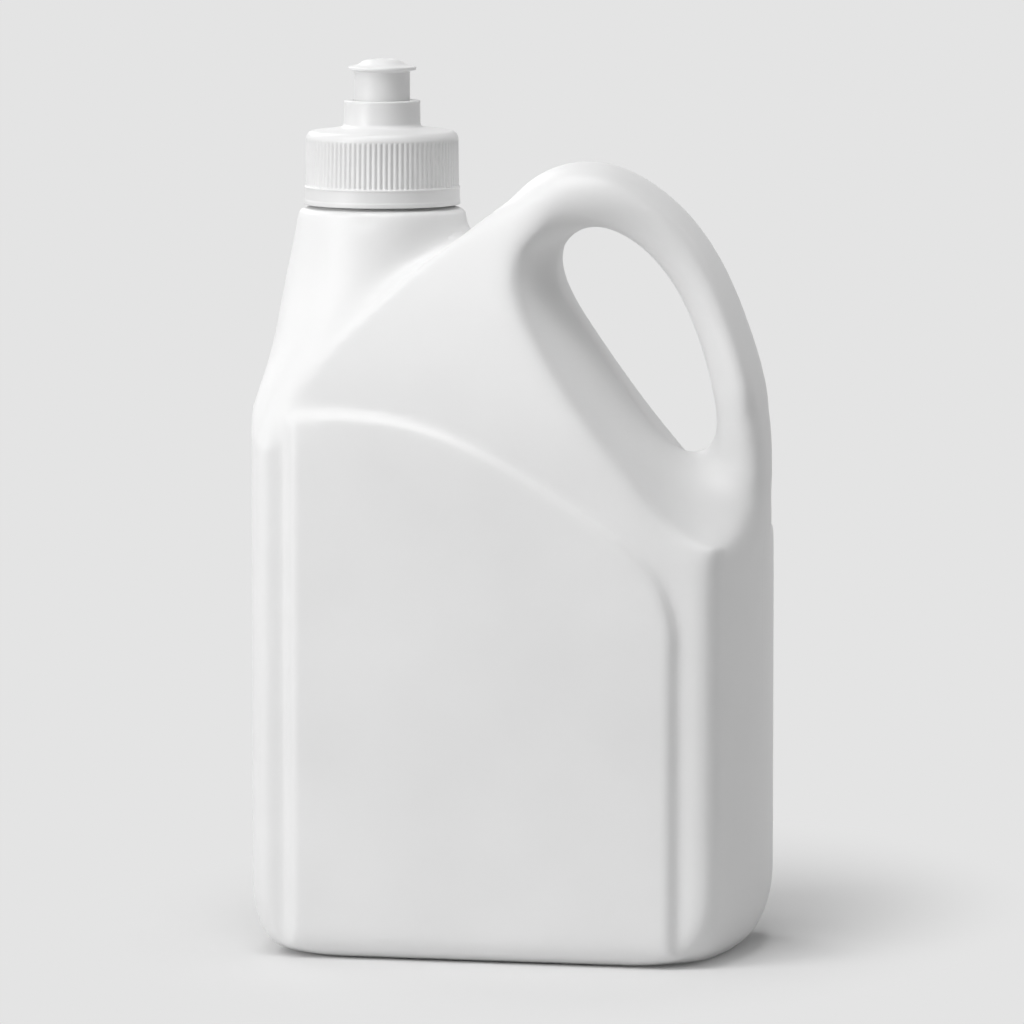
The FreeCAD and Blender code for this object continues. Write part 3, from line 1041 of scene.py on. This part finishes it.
@dataclass
class Camera:
    """A long lens a little above the jug and to its right."""

    azimuth: float = 13.2
    elevation: float = 5.67
    distance: float = 2.540
    sensor_mm: float = 36.0
    lens_mm: float = 332.086
    aim_across: float = -0.00065
    aim_height: float = 0.1171
    reach: float = 60.0

    def build(self) -> bpy.types.Object:
        """Places the camera and makes it the scene's.

        Returns:
            The camera.
        """
        a, p = math.radians(self.azimuth), math.radians(self.elevation)
        back = Vector((math.sin(a) * math.cos(p), -math.cos(a) * math.cos(p), math.sin(p)))
        right = Vector((math.cos(a), math.sin(a), 0))
        data = bpy.data.cameras.new("camera")
        data.sensor_width = self.sensor_mm
        data.lens = self.lens_mm
        data.clip_end = self.reach
        camera = bpy.data.objects.new("camera", data)
        bpy.context.scene.collection.objects.link(camera)
        place = Matrix((right, back.cross(right), back)).transposed().to_4x4()
        place.translation = (right * self.aim_across + Vector((0, 0, self.aim_height))
                             + back * self.distance)
        camera.matrix_world = place
        bpy.context.scene.camera = camera
        return camera


@dataclass(frozen=True)
class Lamp:
    """A square soft lamp that faces the jug: its place and side in metres, its power in watts."""

    name: str
    place: tuple[float, float, float]
    power: float
    size: float = 0.8
    aim: tuple[float, float, float] = (0.0, 0.0, 0.1)

    def build(self) -> None:
        """Hangs the lamp."""
        data = bpy.data.lights.new(self.name, "AREA")
        data.size = self.size
        data.energy = self.power
        lamp = bpy.data.objects.new(self.name, data)
        bpy.context.scene.collection.objects.link(lamp)
        lamp.location = self.place
        towards = Vector(self.aim) - Vector(self.place)
        lamp.rotation_euler = towards.to_track_quat("-Z", "Y").to_euler()


@dataclass
class Studio:
    """A pale floor that runs into a plain backdrop, soft lamps all round and a weak fill."""

    backdrop: str = "#E4E4E4"
    floor: str = "#E2E2E2"
    floor_size: float = 60.0
    shadow_centre: tuple[float, float] = (0.0, 0.05)
    shadow_reach: tuple[float, float] = (0.055, 0.13)
    shadow_depth: float = 0.6
    fill: float = 0.045
    lamps: tuple[Lamp, ...] = (Lamp("key", (-0.875, -0.875, 1.34), 7.8),
                               Lamp("low_key", (-1.245, -1.245, 0.47), 12.4),
                               Lamp("front", (0.0, -1.24, 1.34), 1.6),
                               Lamp("high_front", (0.0, -0.64, 1.68), 6.6),
                               Lamp("overhead", (0.0, -0.11, 1.7), 6.6),
                               Lamp("right", (1.54, 0.0, 0.82), 3.1),
                               Lamp("behind_left", (-0.985, 0.985, 1.075), 5.8),
                               Lamp("behind_right", (0.985, 0.985, 1.075), 2.1))

    def seen_directly(self, tree: bpy.types.NodeTree) -> bpy.types.NodeSocket:
        """Adds the test for rays that show the backdrop: seen, mirrored or seen through.

        Args:
            tree: node tree of the floor or the world.

        Returns:
            The socket, 1 for such a ray.
        """
        path = add_node(tree, "ShaderNodeLightPath")
        seen = add_node(tree, "ShaderNodeMath", {"operation": "MAXIMUM"},
                        {0: path.outputs["Is Camera Ray"], 1: path.outputs["Is Glossy Ray"]})
        direct = add_node(tree, "ShaderNodeMath", {"operation": "MAXIMUM"},
                          {0: seen.outputs["Value"], 1: path.outputs["Is Transmission Ray"]})
        return direct.outputs["Value"]

    def floor_material(self) -> bpy.types.Material:
        """Makes the floor: matt paper that takes the shadow, and plain backdrop further out.

        Returns:
            The material.
        """
        material = bpy.data.materials.new("paper_floor")
        material.use_nodes = True
        tree = material.node_tree
        tree.nodes.clear()
        place = add_node(tree, "ShaderNodeTexCoord").outputs["Object"]
        shift = Vector((-self.shadow_centre[0], -self.shadow_centre[1], 0))
        centred = add_node(tree, "ShaderNodeVectorMath", {"operation": "ADD", 1: shift}, {0: place})
        squeezed = add_node(tree, "ShaderNodeVectorMath",
                            {"operation": "MULTIPLY", 1: (1.0, self.shadow_depth, 1.0)},
                            {0: centred.outputs["Vector"]})
        away = add_node(tree, "ShaderNodeVectorMath", {"operation": "LENGTH"},
                        {0: squeezed.outputs["Vector"]})
        near, far = self.shadow_reach
        fade = add_node(tree, "ShaderNodeMapRange",
                        {"interpolation_type": "SMOOTHSTEP", "From Min": near, "From Max": far},
                        {"Value": away.outputs["Value"]})
        shown = add_node(tree, "ShaderNodeMath", {"operation": "MULTIPLY"},
                         {0: fade.outputs["Result"], 1: self.seen_directly(tree)})
        paper = add_node(tree, "ShaderNodeBsdfDiffuse", {"Color": linear(self.floor)})
        plain = add_node(tree, "ShaderNodeEmission",
                         {"Color": linear(self.backdrop), "Strength": 1.0})
        mix = add_node(tree, "ShaderNodeMixShader", None,
                       {0: shown.outputs["Value"], 1: paper.outputs["BSDF"],
                        2: plain.outputs["Emission"]})
        add_node(tree, "ShaderNodeOutputMaterial", None, {"Surface": mix.outputs["Shader"]})
        return material

    def light_world(self) -> None:
        """Lights the scene evenly, and shows the backdrop's colour where the world is seen."""
        world = bpy.data.worlds.new("studio")
        world.use_nodes = True
        tree = world.node_tree
        tree.nodes.clear()
        light = add_node(tree, "ShaderNodeBackground",
                         {"Color": linear("#FFFFFF"), "Strength": self.fill})
        plain = add_node(tree, "ShaderNodeBackground",
                         {"Color": linear(self.backdrop), "Strength": 1.0})
        mix = add_node(tree, "ShaderNodeMixShader", None,
                       {0: self.seen_directly(tree), 1: light.outputs["Background"],
                        2: plain.outputs["Background"]})
        add_node(tree, "ShaderNodeOutputWorld", None, {"Surface": mix.outputs["Shader"]})
        bpy.context.scene.world = world

    def build(self) -> None:
        """Lays the floor and sets the lights and the view."""
        bpy.ops.object.select_all(action="DESELECT")
        bpy.ops.mesh.primitive_plane_add(size=self.floor_size)
        floor = bpy.context.object
        floor.name = "floor"
        floor.data.materials.append(self.floor_material())
        self.light_world()
        for lamp in self.lamps:
            lamp.build()
        bpy.context.scene.view_settings.view_transform = "Standard"


def main() -> None:
    """Builds the pieces in order."""
    logging.basicConfig(level=logging.INFO, format="%(name)s: %(message)s")
    Camera().build()
    Studio().build()
    for maker in (Bottle(), Cap(), Spout(), SealLiner()):
        piece = maker.build()
        log.info("%s: %d faces", piece.name, len(piece.data.polygons))


if __name__ == "__main__":
    main()
